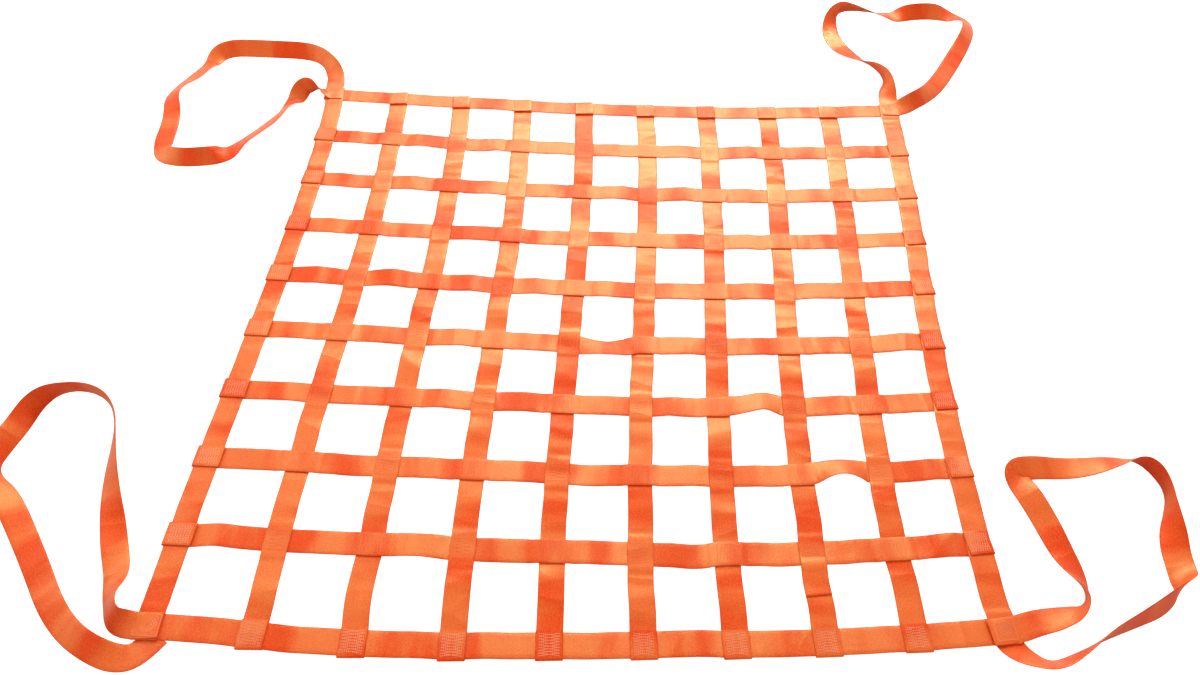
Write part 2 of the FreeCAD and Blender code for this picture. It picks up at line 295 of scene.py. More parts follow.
webbingFinish = {
    "deep": (0.74, 0.036, 0.004), "bright": (0.86, 0.148, 0.014), "valleyShade": (0.58, 0.026, 0.002),
    "roughness": (0.29, 0.41), "specular": (0.38, 1.2), "gloss": (0.90, 1.0, 0.38), "grain": 0.5,
    "sheen": 0.08, "sheenRoughness": 0.30, "sheenTint": (0.8, 1.0, 0.30),
    "bump": 0.6, "buckle": 1.0, "valleyShadeShare": 0.6, "edgeShadeShare": 0.65,
    "shares": {"tone": 0.30, "streaks": 0.20, "paintedShade": 0.28, "specks": 0.50},
}
threadFinish = {
    "deep": (0.84, 0.300, 0.150), "bright": (0.95, 0.460, 0.270), "valleyShade": (0.40, 0.08, 0.03),
    "roughness": (0.40, 0.55), "specular": (0.4, 0.4), "gloss": (1.0, 0.85, 0.7), "grain": 0.0,
    "sheen": 0.3, "sheenRoughness": 0.32, "sheenTint": (1.0, 0.85, 0.7),
    "bump": 0.0, "buckle": 0.0, "valleyShadeShare": 0.0, "edgeShadeShare": 0.0,
    "shares": {"tone": 0.35, "streaks": 0.20, "paintedShade": 0.45, "specks": 0.0},
}

# metres: full height of the weave and of the creases
bumpHeight = {"weave": 0.0004, "buckle": 0.007}
# gain and offset that spread each noise over about 0 to 1, and the specks over about -1 to 1
noiseSpread = {"tone": (1.9, -0.45), "streaks": (1.6, -0.3), "specks": (4.0, -2.0)}


def mixColours(tree, factor, a, b):
    # factor blends from colour a to colour b; each is a colour or a socket
    node = tree.nodes.new("ShaderNodeMix")
    node.data_type = "RGBA"
    node.clamp_factor = True
    if isinstance(factor, (int, float)):
        node.inputs["Factor"].default_value = factor
    else:
        tree.links.new(factor, node.inputs["Factor"])
    for socket, value in ((node.inputs[6], a), (node.inputs[7], b)):
        if isinstance(value, tuple):
            socket.default_value = (*value, 1)
        else:
            tree.links.new(value, socket)
    return node.outputs[2]


def clothMaterial(name, finish):
    # orange yarn, with painted shade in the valleys of the weave and along the strap's edges, and a tinted
    # gloss that is stronger in the patches painted light. The tone goes from deep to bright by
    # blend = the sum of tone, streaks, patches of painted light and shade, and specks, each times its
    # share
    material = bpy.data.materials.new(name)
    material.use_nodes = True
    tree = material.node_tree
    shader = tree.nodes["Principled BSDF"]
    coordinates = tree.nodes.new("ShaderNodeTexCoord")
    groups = {}
    for label, group in sharedGroups.items():
        node = tree.nodes.new("ShaderNodeGroup")
        node.node_tree = group
        tree.links.new(coordinates.outputs["UV"], node.inputs["UV"])
        groups[label] = node
    tree.links.new(coordinates.outputs["Object"], groups["mottle"].inputs["Place"])
    mottle = groups["mottle"].outputs
    # painted light and shade: patches of the cloth drawn towards bright or deep, standing for light and
    # shade on creased cloth
    paintedShade = groups["buckle"].outputs["Painted Shade"]
    shares = finish["shares"]
    tone = mathNode(tree, "MULTIPLY_ADD", mottle["Tone"], *noiseSpread["tone"], clamp=True)
    streaks = mathNode(tree, "MULTIPLY_ADD", mottle["Streaks"], *noiseSpread["streaks"], clamp=True)
    specks = mathNode(tree, "MULTIPLY_ADD", mottle["Specks"], *noiseSpread["specks"])
    blend = mathNode(tree, "MULTIPLY", streaks, shares["streaks"])
    blend = mathNode(tree, "MULTIPLY_ADD", tone, shares["tone"], blend)
    blend = mathNode(tree, "MULTIPLY_ADD", paintedShade, shares["paintedShade"], blend)
    blend = mathNode(tree, "MULTIPLY_ADD", specks, shares["specks"], blend, clamp=True)
    yarn = mixColours(tree, blend, finish["deep"], finish["bright"])
    # painted shade in the weave's valleys: the yarn darkens towards the valley colour
    depth = mathNode(tree, "MULTIPLY", groups["weave"].outputs["Valley Shade"], finish["valleyShadeShare"])
    shaded = mixColours(tree, depth, yarn, finish["valleyShade"])
    # painted shade along the strap's edges, in the valley colour
    edge = mathNode(tree, "MULTIPLY", groups["edgeShade"].outputs["Mask"], finish["edgeShadeShare"])
    tree.links.new(mixColours(tree, edge, shaded, finish["valleyShade"]), shader.inputs["Base Color"])
    low, high = finish["roughness"]
    tree.links.new(mathNode(tree, "MULTIPLY_ADD", streaks, high - low, low), shader.inputs["Roughness"])
    shader.inputs["Sheen Weight"].default_value = finish["sheen"]
    shader.inputs["Sheen Roughness"].default_value = finish["sheenRoughness"]
    shader.inputs["Sheen Tint"].default_value = (*finish["sheenTint"], 1)
    shader.inputs["Specular Tint"].default_value = (*finish["gloss"], 1)
    # the gloss is stronger in the patches painted light
    matt, glossy = finish["specular"]
    specular = mathNode(tree, "MULTIPLY_ADD", paintedShade, glossy - matt, matt)
    tree.links.new(specular, shader.inputs["Specular IOR Level"])
    if finish["grain"] > 0:
        # the gloss is drawn out across the yarns, which run along the strap
        grain = tree.nodes.new("ShaderNodeTangent")
        grain.direction_type = "UV_MAP"
        tree.links.new(grain.outputs[0], shader.inputs["Tangent"])
        shader.inputs["Anisotropic"].default_value = finish["grain"]
    if finish["bump"] > 0:
        # two bumps, one on the other: broad buckles from handling, then the weave
        buckle = tree.nodes.new("ShaderNodeBump")
        buckle.inputs["Strength"].default_value = finish["buckle"]
        buckle.inputs["Distance"].default_value = bumpHeight["buckle"]
        tree.links.new(groups["buckle"].outputs["Height"], buckle.inputs["Height"])
        bump = tree.nodes.new("ShaderNodeBump")
        bump.inputs["Strength"].default_value = finish["bump"]
        bump.inputs["Distance"].default_value = bumpHeight["weave"]
        tree.links.new(groups["weave"].outputs["Height"], bump.inputs["Height"])
        tree.links.new(buckle.outputs[0], bump.inputs["Normal"])
        tree.links.new(bump.outputs[0], shader.inputs["Normal"])
    return material


webbing = clothMaterial("wovenWebbing", webbingFinish)
thread = clothMaterial("sewingThread", threadFinish)
# the crossings are sewn with thread close to the webbing in colour
matchedThread = clothMaterial("matchedThread", {
    **threadFinish, "deep": (0.76, 0.120, 0.035), "bright": (0.90, 0.230, 0.080),
})
print("materials made")


# ---- meshes

sharpAngle = 1.0  # radians: edges sharper than this are shaded as edges

# where in the pattern of the cloth a strap starts, in metres: each row or column is a multiple of its
# value, so that no two straps look alike
clothStart = {"cross": 3.1, "long": 2.3, "side": 1.7, "end": 5.0, "lap": 9.0, "loop": 20.0}
seeds = {"cross": 100, "long": 200, "side": 300, "end": 310}  # plus the row or column


def addMesh(name, points, faces, caps, uv, material):
    # a mesh from arrays: points, faces, the end faces as lists, and one UV per point
    mesh = bpy.data.meshes.new(name)
    mesh.from_pydata(points.tolist(), [], faces.tolist() + caps)
    corner = np.empty(len(mesh.loops), int)
    mesh.loops.foreach_get("vertex_index", corner)
    layer = mesh.uv_layers.new(name="UVMap")
    layer.data.foreach_set("uv", uv[corner].astype(np.float32).ravel())
    mesh.shade_smooth()
    mesh.set_sharp_from_angle(angle=sharpAngle)
    mesh.materials.append(material)
    piece = bpy.data.objects.new(name, mesh)
    bpy.context.scene.collection.objects.link(piece)
    return piece


# outline of the webbing's section: across and up as shares of half the width and half the thickness
sectionTop = [
    (-1, 0), (-0.985, 0.62), (-0.94, 1), (-0.62, 0.98), (-0.3, 1), (0, 0.98),
    (0.3, 1), (0.62, 0.98), (0.94, 1), (0.985, 0.62), (1, 0),
]
sectionOutline = np.array(sectionTop + [(across, -up) for across, up in sectionTop[-2:0:-1]])


def unit(vectors):
    # each vector divided by its length
    return vectors / np.linalg.norm(vectors, axis=-1, keepdims=True)


def ribbon(centre, sideways, roll, startAt, rise=0.0):
    # the section carried along a path:
    # point = centre + across x half width x side + up x half thickness x normal, where side is the
    # sideways vector turned by roll about the path, and normal = path direction x side;
    # rise lifts the points of each ring further, one value for each point round the outline
    along = unit(np.gradient(centre, axis=0))
    side = unit(sideways - along * np.sum(sideways * along, axis=1, keepdims=True))
    normal = np.cross(along, side)
    turn = roll[:, None]
    turnedSide = side * np.cos(turn) + normal * np.sin(turn)
    turnedNormal = normal * np.cos(turn) - side * np.sin(turn)
    across = sectionOutline[None, :, 0, None] * webWidth / 2
    up = sectionOutline[None, :, 1, None] * clothThick / 2
    points = centre[:, None, :] + across * turnedSide[:, None, :] + up * turnedNormal[:, None, :]
    points[..., 2] += rise
    rings, around = points.shape[:2]
    length = startAt + np.concatenate([[0], np.cumsum(np.linalg.norm(np.diff(centre, axis=0), axis=1))])
    uv = np.stack(np.broadcast_arrays(length[:, None], sectionOutline[None, :, 0] * webWidth / 2), axis=-1)
    first = np.arange(rings - 1)[:, None] * around + np.arange(around)[None, :]
    following = np.arange(rings - 1)[:, None] * around + (np.arange(around)[None, :] + 1) % around
    quads = np.stack([first, first + around, following + around, following], axis=-1).reshape(-1, 4)
    caps = [list(range(around)), [(rings - 1) * around + k for k in range(around)][::-1]]
    return points.reshape(-1, 3), quads, caps, uv.reshape(-1, 2)


# ---- how the net lies

netLie = {
    # how far the net is pulled off a true square at nine places: rear, middle and front row, each from
    # left to right, as (to the right, to the rear)
    "pulls": (
        ((-0.035, 0.025), (0.000, -0.010), (0.005, 0.020)),
        ((-0.020, 0.010), (0.010, -0.005), (-0.015, 0.035)),
        ((-0.035, -0.015), (0.020, -0.015), (-0.005, 0.040)),
    ),
    # S-shaped sway between them, as (to the right, to the rear): along the net's depth and along its
    # width; the gain brings the peak of t (1 - t squared) to about 1
    "depthSway": (0.008, -0.006), "widthSway": (-0.005, -0.004), "swayGain": 2.6,
    # the front border sags forward, most at this share of the half span
    "sag": 0.016, "sagPlace": -0.5, "sagWidth": 0.42, "sagStart": 0.7,
}


def threeWeights(share):
    # weights of the values at 1, 0 and -1 in the parabola through them
    return share * (share + 1) / 2, 1 - share**2, share * (share - 1) / 2


def laidOut(x, y):
    # the sewn net isn't stretched square on the floor. u and v run from -1 to 1 between the border
    # straps: shift = the parabolas through the nine pulls + sway x gain x t (1 - t squared), with t = v
    # and then t = u; the sag grows as the square of the way from its start to the front border, and
    # falls off to both sides of its place as exp(-(distance / width) squared)
    u = x / halfSpan
    v = y / halfSpan
    right, centre, left = threeWeights(u)
    shifts = []
    for axis in (0, 1):
        rows = []
        for pulls in netLie["pulls"]:
            rows.append(left * pulls[0][axis] + centre * pulls[1][axis] + right * pulls[2][axis])
        shift = sum(weight * row for weight, row in zip(threeWeights(v), rows))
        shift = shift + netLie["depthSway"][axis] * netLie["swayGain"] * v * (1 - v**2)
        shifts.append(shift + netLie["widthSway"][axis] * netLie["swayGain"] * u * (1 - u**2))
    front = np.clip((-v - netLie["sagStart"]) / (1 - netLie["sagStart"]), 0, 1) ** 2
    sag = netLie["sag"] * np.exp(-((u - netLie["sagPlace"]) / netLie["sagWidth"]) ** 2) * front
    return x + shifts[0], y + shifts[1] - sag


def crossLayer(row, column):
    # a strap that runs left to right is on top where row + column is even, and under the side borders
    if column in (0, last):
        return 0
    return 1 if (row + column) % 2 == 0 else 0


def longLayer(row, column):
    # a strap that runs front to rear is on top where row + column is odd, and under the end borders
    if row in (0, last):
        return 0
    return 1 if (row + column) % 2 == 1 else 0


strapLie = {
    # metres beside the middle of a crossing where a strap keeps its level, and where it keeps its line
    "flat": 0.029, "swingFlat": 0.015,
    # metres between two rings of the mesh, and how far a fold's start lies inside the border's edge
    "step": 0.0036, "tuck": 0.0022,
    # share of a span in which the strap goes down from the upper layer; the smaller the fullness, the
    # fuller a bow
    "drop": 0.13, "fullness": 0.45,
    # least and most rise of a span, in metres
    "lift": (0.0003, 0.0055),
    # typical sideways bow and sway in metres, and lean in radians
    "bow": 0.00088, "sway": 0.00066, "lean": 0.025,
    # ripples in radians per metre
    "rippleTurn": 95,
    # where in its span a crease may be, how slanted it is, its least distance from the span's ends and
    # its softness
    "crease": (0.22, 0.78), "slant": 0.10, "creaseEdge": 0.1, "softness": 0.10,
}
# ripple and sag in metres, and how much of the creases and of the lean is left
innerLie = {"ripple": 0.0005, "sag": 0.0, "creased": 1.0, "lean": 1.0}
borderLie = {"ripple": 0.0002, "sag": 0.0011, "creased": 0.25, "lean": 0.3}


def straySpans(chosen, seed):
    # bow, sway and lift (metres) and lean (radians) of each span between crossings: a seeded scatter,
    # in which the chosen spans are then set; lift = least + (most - least) x random squared
    scatter = np.random.default_rng(seed)
    low, high = strapLie["lift"]
    spans = {
        "bow": scatter.normal(0, strapLie["bow"], last),
        "sway": scatter.normal(0, strapLie["sway"], last),
        "lean": scatter.normal(0, strapLie["lean"], last),
        "lift": low + (high - low) * scatter.uniform(0, 1, last) ** 2,
        "phase": scatter.uniform(0, 2 * np.pi, last),
        "crease": scatter.uniform(*strapLie["crease"], last),
        "slant": scatter.normal(0, strapLie["slant"], last),
    }
    for key, changes in chosen.items():
        for span, value in changes.items():
            spans[key][span] = value
    return spans


def spanShare(along, flat):
    # which span between crossings each point is in, and its share of the way across it past the flat parts
    place = np.clip(along / pitch + middle, 0, last)
    span = np.clip(np.floor(place).astype(int), 0, last - 1)
    return span, np.clip(((place - span) * pitch - flat) / (pitch - 2 * flat), 0, 1)


def creasedRise(along, spans, creased):
    # each span is bent along one line that crosses it at a slant: rise = lift x the smaller of s / p and
    # (1 - s) / (1 - p), where p = crease place + slant x across; the smaller of two numbers a and b is
    # taken softly, as half of a + b - square root of ((a - b) squared + softness squared)
    span, share = spanShare(along, strapLie["flat"])
    share = share[:, None]
    place = spans["crease"][span][:, None] + spans["slant"][span][:, None] * sectionOutline[None, :, 0]
    place = np.clip(place, strapLie["creaseEdge"], 1 - strapLie["creaseEdge"])
    up = share / place
    down = (1 - share) / (1 - place)
    rise = (up + down - np.sqrt((up - down) ** 2 + strapLie["softness"] ** 2)) / 2
    return np.clip(rise, 0, 1) * spans["lift"][span][:, None] * creased


foldLie = {"rings": 8, "hem": 0.001}


def foldedEnd():
    # distances out from the net's middle, and heights, of a strap's end folded over the border: a half
    # circle one thickness in radius, then straight back to just short of the border's inner edge
    turnAt = outerEdge - strapLie["tuck"]
    angle = np.linspace(-np.pi / 2, np.pi / 2, foldLie["rings"] + 1)[1:]
    back = np.linspace(turnAt, outerEdge - webWidth + foldLie["hem"], foldLie["rings"] + 1)[1:]
    out = np.concatenate([turnAt + webThick * np.cos(angle), back])
    height = np.concatenate([webThick * (1.5 + np.sin(angle)), np.full(len(back), webThick * 2.5)])
    return out, height


def strapPath(acrossPlace, low, high, lowFold, highFold, layers, spans, runsAlong, lie=innerLie):
    # centre line of a strap. Between crossings k and k+1 the share s goes from 0 to 1 past the flat parts;
    # height = thickness x (layer + a half) + ripple - sag + half the width x |sin roll|, and the step from
    # the upper layer to the lower one, t squared x (3 - 2 t), is next to the crossing where the strap is
    # on top; roll = lean x sin(pi s) to the power of twice the fullness;
    # sideways shift = bow x sin(pi s) to the power of twice the fullness + sway x sin(2 pi s) x sin(pi s),
    # and it starts nearer the middle of the crossing than the rest
    count = int(round((high - low) / strapLie["step"])) + 1
    along = np.linspace(low + strapLie["tuck"] * lowFold, high - strapLie["tuck"] * highFold, count)
    span, share = spanShare(along, strapLie["flat"])
    hump = np.sin(np.pi * share) ** 2
    span, swingShare = spanShare(along, strapLie["swingFlat"])
    bend = np.sin(np.pi * swingShare) ** 2
    wave = np.sin(2 * np.pi * swingShare) * np.sin(np.pi * swingShare)
    layers = np.array(layers, float)
    here = layers[span]
    ahead = layers[span + 1]
    step = np.clip(np.where(here > ahead, share, share - 1 + strapLie["drop"]) / strapLie["drop"], 0, 1)
    level = here + (ahead - here) * step**2 * (3 - 2 * step)
    ripple = lie["ripple"] * hump * (1 + np.sin(along * strapLie["rippleTurn"] + spans["phase"][span]))
    swing = spans["bow"][span] * bend ** strapLie["fullness"] + spans["sway"][span] * wave
    roll = spans["lean"][span] * hump ** strapLie["fullness"]
    height = webThick * (level + 0.5) + ripple - lie["sag"] * hump + np.abs(np.sin(roll)) * webWidth / 2
    foldOut, foldHeight = foldedEnd()
    flatPart = np.zeros(len(foldOut))
    if highFold:
        along, height, swing, roll = [np.concatenate(pair) for pair in (
            (along, foldOut), (height, foldHeight), (swing, flatPart), (roll, flatPart))]
    if lowFold:
        along, height, swing, roll = [np.concatenate(pair) for pair in (
            (-foldOut[::-1], along), (foldHeight[::-1], height), (flatPart, swing), (flatPart, roll))]
    centre, sideways = laidLine(along, acrossPlace, swing, height, runsAlong)
    return centre, sideways, roll * lie["lean"], creasedRise(along, spans, lie["creased"])


def laidLine(along, acrossPlace, swing, height, runsAlong):
    # takes the strap's own line onto the laid-out net: its plan point through laidOut, and sideways at
    # right angles to the plan direction, which is the slope of laidOut over a short reach each way
    reach = 0.002
    if runsAlong == "x":
        here = laidOut(along, acrossPlace + swing)
        ahead = laidOut(along + reach, acrossPlace + 0 * along)
        behind = laidOut(along - reach, acrossPlace + 0 * along)
    else:
        here = laidOut(acrossPlace + swing, along)
        ahead = laidOut(acrossPlace + 0 * along, along + reach)
        behind = laidOut(acrossPlace + 0 * along, along - reach)
    centre = np.stack([here[0], here[1], height], axis=-1)
    way = unit(np.stack([ahead[0] - behind[0], ahead[1] - behind[1]], axis=-1))
    sideways = np.stack([-way[:, 1], way[:, 0], np.zeros(len(along))], axis=-1)
    return centre, sideways


def rideHalf(piece):
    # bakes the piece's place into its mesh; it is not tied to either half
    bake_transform(piece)


def addStrap(name, path, startAt, nodes):
    # one strap of webbing from its path, which stands for the CAD nodes
    centre, sideways, roll, rise = path
    points, quads, caps, uv = ribbon(centre, sideways, roll, startAt, rise)
    piece = addMesh(name, points, quads, caps, uv, webbing)
    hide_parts(*nodes)
    return piece


# ---- straps from left to right

crossStrapShape = {
    # row: chosen values of some spans
    1: {"bow": {2: -0.003}, "sway": {2: -0.004}},
    2: {"bow": {0: -0.002}},
    3: {"bow": {3: -0.003}},
    4: {"bow": {1: 0.003, 7: 0.001}, "lean": {0: 0.10, 1: 0.12}},
    5: {"bow": {4: -0.015, 2: 0.003}, "lean": {4: -0.30}, "lift": {4: 0.0003}},
    6: {"bow": {6: 0.013, 3: 0.003}, "sway": {6: -0.004}, "lean": {6: -0.16}, "lift": {6: 0.0005}},
    7: {"bow": {7: 0.012, 4: -0.003}, "lean": {7: -0.42}, "lift": {7: 0.0003}},
    8: {"bow": {2: 0.003, 5: -0.005}},
}


def addCrossStraps():
    # one strap on each inner row, at y = (middle - row) x pitch, with both ends folded over the borders
    for row in range(1, last):
        spans = straySpans(crossStrapShape[row], seeds["cross"] + row)
        layers = [crossLayer(row, column) for column in range(crossings)]
        place = (middle - row) * pitch
        path = strapPath(place, -outerEdge, outerEdge, True, True, layers, spans, "x")
        piece = addStrap("crossStrap%d" % row, path, row * clothStart["cross"], ["cross_strap_%d" % row])
        if row in (4, 5):
            # the two middle straps reach into the crease zones
            rideHalf(piece)
        else:
            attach(piece, "rear_half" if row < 4 else "front_half")
    print("cross straps made")


# ---- straps from front to rear

longStrapShape = {2: {"bow": {0: -0.004}}, 7: {"bow": {1: 0.003}}, 8: {"bow": {0: 0.003}}}

# each strap from front to rear is two pieces that meet on the centre line, so that each crosses one crease
rearAndFront = (("rear", 0.0, outerEdge, "rear_half"), ("front", -outerEdge, 0.0, "front_half"))


def addLongStraps():
    # two pieces on each inner column, at x = (column - middle) x pitch, with the outer ends folded over
    for column in range(1, last):
        spans = straySpans(longStrapShape.get(column, {}), seeds["long"] + column)
        layers = [longLayer(last - k, column) for k in range(crossings)]
        place = (column - middle) * pitch
        for label, low, high, half in rearAndFront:
            rear = label == "rear"
            path = strapPath(place, low, high, not rear, rear, layers, spans, "y")
            nodes = ["long_strap_%d_%s" % (column, label)] + ["long_strap_%d_middle" % column] * rear
            start = column * clothStart["long"]
            rideHalf(addStrap("longStrap%d_%s" % (column, label), path, start, nodes))
    print("long straps made")


def addBorders():
    # the side borders climb over the front and rear ones at the corners
    for name, column in (("left", 0), ("right", last)):
        spans = straySpans({}, seeds["side"] + column)
        layers = [2 if k in (0, last) else 1 for k in range(crossings)]
        place = (column - middle) * pitch
        for label, low, high, half in rearAndFront:
            path = strapPath(place, low, high, False, False, layers, spans, "y", borderLie)
            nodes = ["%s_border_%s" % (name, label)] + ["%s_border_middle" % name] * (label == "rear")
            start = column * clothStart["side"]
            rideHalf(addStrap("%sBorder_%s" % (name, label), path, start, nodes))
    for name, row, half in (("rear", 0, "rear_half"), ("front", last, "front_half")):
        spans = straySpans({}, seeds["end"] + row)
        layers = [1] * crossings
        place = (middle - row) * pitch
        path = strapPath(place, -outerEdge, outerEdge, False, False, layers, spans, "x", borderLie)
        piece = addStrap("%sBorder" % name, path, clothStart["end"] + row, ["%s_border" % name])
        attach(piece, half)
    print("borders made")


lapShape = {"column": 7, "row": 8, "length": 0.060, "rise": 0.016}


def addLap(settings):
    # a second thickness over the strap: it rises out of the strap over the rise length, by
    # thickness x t squared x (3 - 2 t), then follows it
    column = settings["column"]
    spans = straySpans(longStrapShape.get(column, {}), seeds["long"] + column)
    layers = [longLayer(last - k, column) for k in range(crossings)]
    crossingEdge = (middle - settings["row"]) * pitch - webWidth / 2
    start = crossingEdge + settings["rise"]
    end = crossingEdge - settings["length"]
    path = strapPath((column - middle) * pitch, end, start, False, False, layers, spans, "y")
    centre = path[0]
    climb = np.clip((start - np.linspace(end, start, len(centre))) / settings["rise"], 0, 1)
    centre[:, 2] += webThick * climb**2 * (3 - 2 * climb)
    piece = addStrap("longStrap7_lap", path, clothStart["lap"], ["long_strap_7_lap"])
    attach(piece, "front_half")


addCrossStraps()
addLongStraps()
addBorders()
addLap(lapShape)


# ---- corner loops

# a loop is one length of webbing, sewn over and under its corner. Its route is a list of
# (x, y, lift, roll): lift is how far its lower edge is above the floor, and roll in degrees how far
# its left edge is turned up; a roll past 90 turns the webbing over
cornerLoops = {
    "frontLeft": {
        "node": "front_left_loop", "half": "front_half",
        "start": (-0.828, 0, 0), "end": (-0.885, 0, 0), "length": 1.58,
        "route": [
            (-0.776, -0.783, 0.0075, 0), (-0.802, -0.785, 0.0075, 0), (-0.832, -0.787, 0.004, -12),
            (-0.866, -0.780, 0, -45), (-0.884, -0.742, 0, -50), (-0.890, -0.696, 0, -10),
            (-0.914, -0.640, 0, 12), (-0.940, -0.585, 0, 0), (-0.962, -0.528, 0, -25),
            (-0.982, -0.465, 0, -45), (-0.998, -0.400, 0, -62), (-1.014, -0.345, 0, -70),
            (-1.046, -0.298, 0, -86), (-1.100, -0.272, 0, -100), (-1.163, -0.276, 0, -104),
            (-1.201, -0.312, 0, -66), (-1.213, -0.368, 0, -48), (-1.224, -0.420, 0, -60),
            (-1.224, -0.478, 0, -88), (-1.168, -0.538, 0, -25), (-1.106, -0.614, 0, -3),
            (-1.050, -0.683, 0, 2), (-0.994, -0.755, 0, 8), (-0.940, -0.804, 0, 18),
            (-0.885, -0.834, 0, 22), (-0.835, -0.848, 0, 5), (-0.800, -0.838, 0, 0),
            (-0.777, -0.800, 0, 0),
        ],
    },
    "frontRight": {
        "node": "front_right_loop", "half": "front_half",
        "start": (0.786, 0, 0), "end": (0.845, 0, 0), "length": 1.45,
        "route": [
            (0.733, -0.732, 0.0075, 0), (0.758, -0.728, 0.0075, 0), (0.785, -0.722, 0.004, 4),
            (0.818, -0.708, 0, -2), (0.858, -0.700, 0, -14), (0.896, -0.692, 0, -46),
            (0.920, -0.664, 0, -112), (0.916, -0.608, 0, -158), (0.902, -0.545, 0, -185),
            (0.884, -0.482, 0, -194), (0.864, -0.424, 0, -198), (0.850, -0.386, 0, -158),
            (0.892, -0.376, 0, -164), (0.948, -0.374, 0, -176), (1.003, -0.370, 0, -192),
            (1.060, -0.360, 0, -218), (1.108, -0.356, 0, -254), (1.134, -0.380, 0, -268),
            (1.144, -0.424, 0, -260), (1.129, -0.480, 0, -280), (1.120, -0.545, 0, -338),
            (1.118, -0.604, 0, -338), (1.100, -0.638, 0, -260), (1.060, -0.672, 0, -242),
            (1.000, -0.703, 0, -256), (0.935, -0.735, 0, -268), (0.880, -0.770, 0, -288),
            (0.828, -0.796, 0, -304), (0.784, -0.776, 0, -334), (0.766, -0.752, 0, -360),
            (0.757, -0.732, 0, -360),
        ],
    },
    "rearLeft": {
        "node": "rear_left_loop", "half": "rear_half",
        "start": (-0.832, 0, 0), "end": (-0.895, 0, 0), "length": 1.62,
        "route": [
            (-0.803, 0.766, 0.0075, 0), (-0.805, 0.795, 0.0075, 0), (-0.808, 0.830, 0.004, 5),
            (-0.818, 0.885, 0, -5), (-0.842, 0.922, 0, -50), (-0.884, 0.958, 0, -62),
            (-0.940, 0.973, 0, -56), (-1.010, 0.976, 0, -54), (-1.080, 0.978, 0, -54),
            (-1.140, 0.978, 0, -54), (-1.184, 0.958, 0, -42), (-1.200, 0.912, 0, 20),
            (-1.224, 0.850, 0, 14), (-1.252, 0.798, 0, 30), (-1.262, 0.750, 0, 26),
            (-1.240, 0.690, 0, 6), (-1.228, 0.620, 0, -4), (-1.222, 0.555, 0, -6),
            (-1.204, 0.500, 0, 35), (-1.150, 0.484, 0, 48), (-1.095, 0.486, 0, 55),
            (-1.050, 0.502, 0, 40), (-1.014, 0.550, 0, -25), (-0.975, 0.605, 0, -28),
            (-0.944, 0.655, 0, -25), (-0.922, 0.705, 0, -42), (-0.909, 0.758, 0, -5),
            (-0.890, 0.799, 0, 66), (-0.866, 0.803, 0, 92), (-0.840, 0.797, 0, 142),
            (-0.812, 0.790, 0, 172), (-0.782, 0.786, 0, 180),
        ],
    },
    "rearRight": {
        "node": "rear_right_loop", "half": "rear_half",
        "start": (0, 0.812, 0), "end": (0, 0.875, 0), "length": 1.54,
        "route": [
            (0.774, 0.760, 0.0075, 0), (0.774, 0.785, 0.0075, 0), (0.773, 0.815, 0.004, 0),
            (0.775, 0.860, 0, -25), (0.778, 0.912, 0, -88), (0.760, 0.960, 0, -118),
            (0.722, 1.000, 0, -148), (0.686, 1.052, 0, -172), (0.656, 1.105, 0, -186),
            (0.645, 1.165, 0, -180), (0.652, 1.222, 0, -130), (0.688, 1.272, 0, -72),
            (0.742, 1.272, 0, -48), (0.792, 1.258, 0, -32), (0.842, 1.256, 0, -10),
            (0.885, 1.258, 0, 40), (0.935, 1.262, 0, 56), (0.985, 1.268, 0, 42), (1.030, 1.266, 0, 0),
            (1.068, 1.232, 0, -26), (1.068, 1.180, 0, -40), (1.040, 1.115, 0, -32),
            (1.002, 1.045, 0, -18), (0.962, 0.972, 0, -12), (0.920, 0.900, 0, -20),
            (0.880, 0.845, 0, -46), (0.838, 0.812, 0, -45), (0.800, 0.792, 0, -14),
            (0.752, 0.782, 0, 0),
        ],
    },
}


routeLine = {"resolution": 12, "order": 3}


def nurbsLine(rows):
    # the smooth line that Blender draws for these control points, as an array of points
    data = bpy.data.curves.new("route", "CURVE")
    data.dimensions = "3D"
    data.resolution_u = routeLine["resolution"]
    spline = data.splines.new("NURBS")
    spline.points.add(len(rows) - 1)
    spline.points.foreach_set("co", np.column_stack([rows, np.ones(len(rows))]).ravel())
    spline.order_u = routeLine["order"]
    spline.use_endpoint_u = True
    route = bpy.data.objects.new("route", data)
    mesh = bpy.data.meshes.new_from_object(route)
    points = np.empty(len(mesh.vertices) * 3)
    mesh.vertices.foreach_get("co", points)
    bpy.data.objects.remove(route)
    bpy.data.meshes.remove(mesh)
    return points.reshape(-1, 3)


def smoothed(values, reach):
    # running mean over reach samples each way, with the end values repeated
    padded = np.pad(values, reach, mode="edge")
    return np.convolve(padded, np.ones(2 * reach + 1) / (2 * reach + 1), mode="valid")


# softness rounds off the change from lying to standing, reach is in points, and a lift below resting
# counts as none
loopLie = {"softness": 0.06, "reach": 4, "resting": 0.0005}


